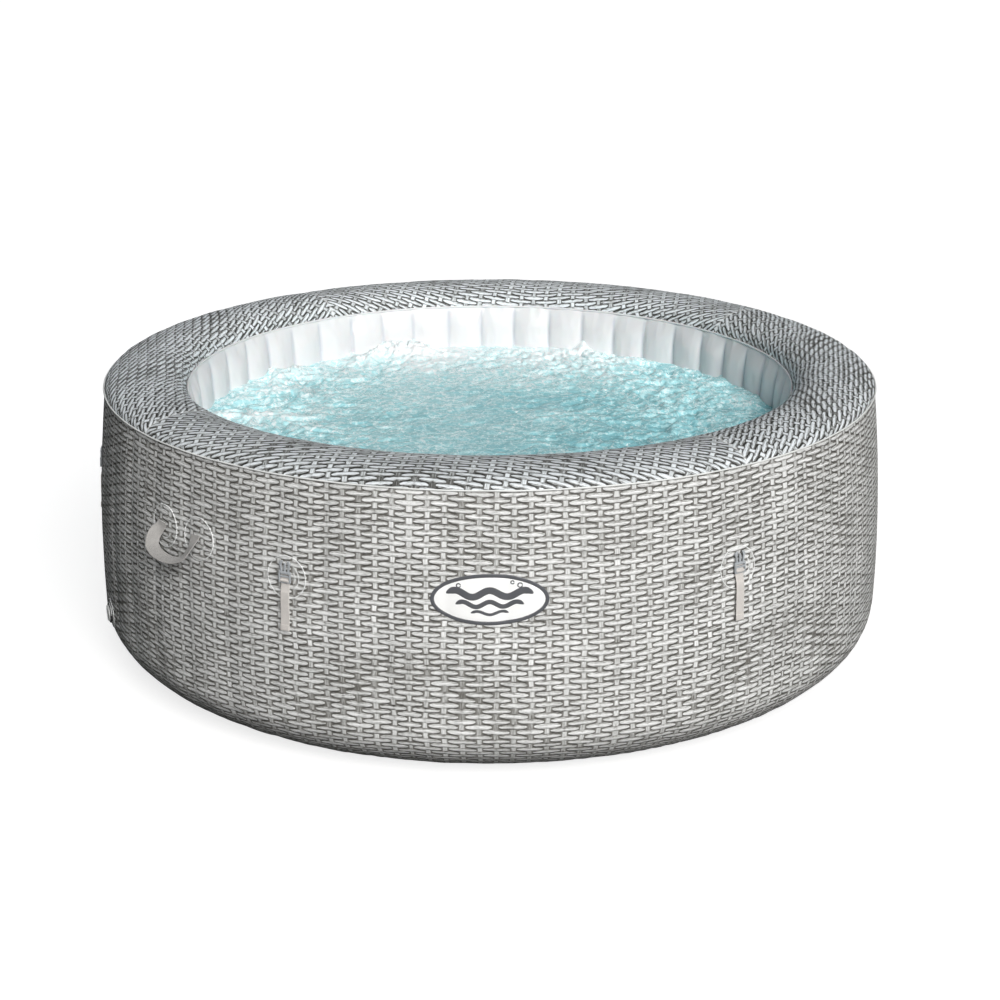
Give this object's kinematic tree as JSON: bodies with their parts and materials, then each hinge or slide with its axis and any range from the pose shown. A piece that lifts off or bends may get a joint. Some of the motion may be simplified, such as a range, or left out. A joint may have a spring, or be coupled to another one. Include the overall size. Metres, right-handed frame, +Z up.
{
  "type": "inflatable hot tub",
  "caption": "Round inflatable hot tub with padded rim, wicker-print wall, white liner, cover clips, webbing handles, valve, drain and pump ports.",
  "frame": {"origin": "centre of the base, on the ground", "axes": "+Z up; -Y is the front with the badge, +Y the back with the pump ports"},
  "size_m": [1.9818, 2.0019, 0.71],
  "materials": {
    "wicker_print": "printed wicker pattern on coated fabric, satin",
    "white_pvc": "white coated fabric, soft gloss",
    "dark_pvc": "dark coated fabric",
    "inner_pvc": "grey coated fabric",
    "badge_dark": "printed patch, satin",
    "badge_pale": "printed patch, satin",
    "patch_pvc": "welded clear-edged patch",
    "webbing": "woven webbing",
    "clip_plastic": "moulded, satin",
    "rubber": "matt",
    "fitting_plastic": "moulded, satin"
  },
  "bodies": {
    "tub": {"air_duct": "fitting_plastic", "air_riser": "white_pvc", "badge_plate": "badge_pale", "badge_rim": "badge_dark", "base_sheet": "dark_pvc", "beams": "inner_pvc", "bubble_channel": "white_pvc", "chamber_floor": "inner_pvc", "clip_anchors": "webbing", "clip_patches": "patch_pvc", "drain_duct": "fitting_plastic", "duct_collars": "patch_pvc", "handle_1_patches": "patch_pvc", "handle_1_tabs": "webbing", "handle_2_patches": "patch_pvc", "handle_2_tabs": "webbing", "inner_wall": "white_pvc", "liner_piping": "white_pvc", "outer_seam_welt": "patch_pvc", "outer_wall_1": "wicker_print", "outer_wall_2": "wicker_print", "outer_wall_3": "wicker_print", "outer_wall_4": "wicker_print", "pool_floor": "white_pvc", "port_gaskets": "rubber", "return_duct": "fitting_plastic", "suction_duct": "fitting_plastic", "top_ring_1": "wicker_print", "top_ring_2": "wicker_print", "top_ring_3": "wicker_print", "top_ring_4": "wicker_print", "valve_body": "fitting_plastic", "valve_diaphragm": "rubber", "valve_patch": "patch_pvc", "valve_tether": "rubber"},
    "clip_1": {"clip_1": "clip_plastic"},
    "clip_2": {"clip_2": "clip_plastic"},
    "clip_3": {"clip_3": "clip_plastic"},
    "clip_4": {"clip_4": "clip_plastic"},
    "clip_5": {"clip_5": "clip_plastic"},
    "clip_6": {"clip_6": "clip_plastic"},
    "clip_tail_1": {"clip_tail_1": "webbing"},
    "clip_tail_2": {"clip_tail_2": "webbing"},
    "clip_tail_3": {"clip_tail_3": "webbing"},
    "clip_tail_4": {"clip_tail_4": "webbing"},
    "clip_tail_5": {"clip_tail_5": "webbing"},
    "clip_tail_6": {"clip_tail_6": "webbing"},
    "handle_1": {"handle_1": "webbing"},
    "handle_2": {"handle_2": "webbing"},
    "valve_cap": {"valve_cap": "fitting_plastic"},
    "drain_cap": {"drain_cap": "fitting_plastic"},
    "drain_plug": {"drain_plug": "fitting_plastic"},
    "return_screen": {"return_screen": "fitting_plastic"},
    "suction_screen": {"suction_screen": "fitting_plastic"}
  },
  "joints": [
    {"name": "clip_1_flip", "type": "hinge", "parent": "tub", "child": "clip_1", "pos_m": [-0.43682, -0.87613, 0.44635], "axis": [0.8949, -0.4462, 0], "range_deg": [0, 90]},
    {"name": "clip_tail_1_swing", "type": "hinge", "parent": "tub", "child": "clip_tail_1", "pos_m": [-0.43682, -0.87613, 0.44635], "axis": [-0.8949, 0.4462, 0], "range_deg": [0, 35]},
    {"name": "clip_2_flip", "type": "hinge", "parent": "tub", "child": "clip_2", "pos_m": [0.54034, -0.81636, 0.44635], "axis": [0.8339, 0.5519, 0], "range_deg": [0, 90]},
    {"name": "clip_tail_2_swing", "type": "hinge", "parent": "tub", "child": "clip_tail_2", "pos_m": [0.54034, -0.81636, 0.44635], "axis": [-0.8339, -0.5519, 0], "range_deg": [0, 35]},
    {"name": "clip_3_flip", "type": "hinge", "parent": "tub", "child": "clip_3", "pos_m": [0.97716, 0.05976, 0.44635], "axis": [-0.061, 0.9981, 0], "range_deg": [0, 90]},
    {"name": "clip_tail_3_swing", "type": "hinge", "parent": "tub", "child": "clip_tail_3", "pos_m": [0.97716, 0.05976, 0.44635], "axis": [0.061, -0.9981, 0], "range_deg": [0, 35]},
    {"name": "clip_4_flip", "type": "hinge", "parent": "tub", "child": "clip_4", "pos_m": [0.43682, 0.87613, 0.44635], "axis": [-0.8949, 0.4462, 0], "range_deg": [0, 90]},
    {"name": "clip_tail_4_swing", "type": "hinge", "parent": "tub", "child": "clip_tail_4", "pos_m": [0.43682, 0.87613, 0.44635], "axis": [0.8949, -0.4462, 0], "range_deg": [0, 35]},
    {"name": "clip_5_flip", "type": "hinge", "parent": "tub", "child": "clip_5", "pos_m": [-0.54034, 0.81636, 0.44635], "axis": [-0.8339, -0.5519, 0], "range_deg": [0, 90]},
    {"name": "clip_tail_5_swing", "type": "hinge", "parent": "tub", "child": "clip_tail_5", "pos_m": [-0.54034, 0.81636, 0.44635], "axis": [0.8339, 0.5519, 0], "range_deg": [0, 35]},
    {"name": "clip_6_flip", "type": "hinge", "parent": "tub", "child": "clip_6", "pos_m": [-0.97716, -0.05976, 0.44635], "axis": [0.061, -0.9981, 0], "range_deg": [0, 90]},
    {"name": "clip_tail_6_swing", "type": "hinge", "parent": "tub", "child": "clip_tail_6", "pos_m": [-0.97716, -0.05976, 0.44635], "axis": [-0.061, 0.9981, 0], "range_deg": [0, 35]},
    {"name": "handle_1_swing", "type": "hinge", "parent": "tub", "child": "handle_1", "pos_m": [-0.68858, -0.69099, 0.48837], "axis": [-0.7083, 0.7059, 0], "range_deg": [0, 110]},
    {"name": "handle_2_swing", "type": "hinge", "parent": "tub", "child": "handle_2", "pos_m": [0.68858, 0.69099, 0.48837], "axis": [0.7083, -0.7059, 0], "range_deg": [0, 110]},
    {"name": "valve_cap_turn", "type": "hinge", "parent": "tub", "child": "valve_cap", "pos_m": [-0.92884, -0.32892, 0.14984], "axis": [-0.9424, -0.3337, -0.0247], "range_deg": [0, 540]},
    {"name": "drain_cap_turn", "type": "hinge", "parent": "tub", "child": "drain_cap", "pos_m": [-0.183, 0.98, 0.132], "axis": [0, 1, 0], "range_deg": [0, 720]},
    {"name": "drain_plug_turn", "type": "hinge", "parent": "tub", "child": "drain_plug", "pos_m": [-0.183, 0.7, 0.132], "axis": [0, -1, 0], "range_deg": [0, 720]},
    {"name": "return_screen_turn", "type": "hinge", "parent": "tub", "child": "return_screen", "pos_m": [0.134, 0.704, 0.25], "axis": [0, -1, 0], "range_deg": [0, 90]},
    {"name": "suction_screen_turn", "type": "hinge", "parent": "tub", "child": "suction_screen", "pos_m": [-0.072, 0.704, 0.25], "axis": [0, -1, 0], "range_deg": [0, 90]}
  ]
}
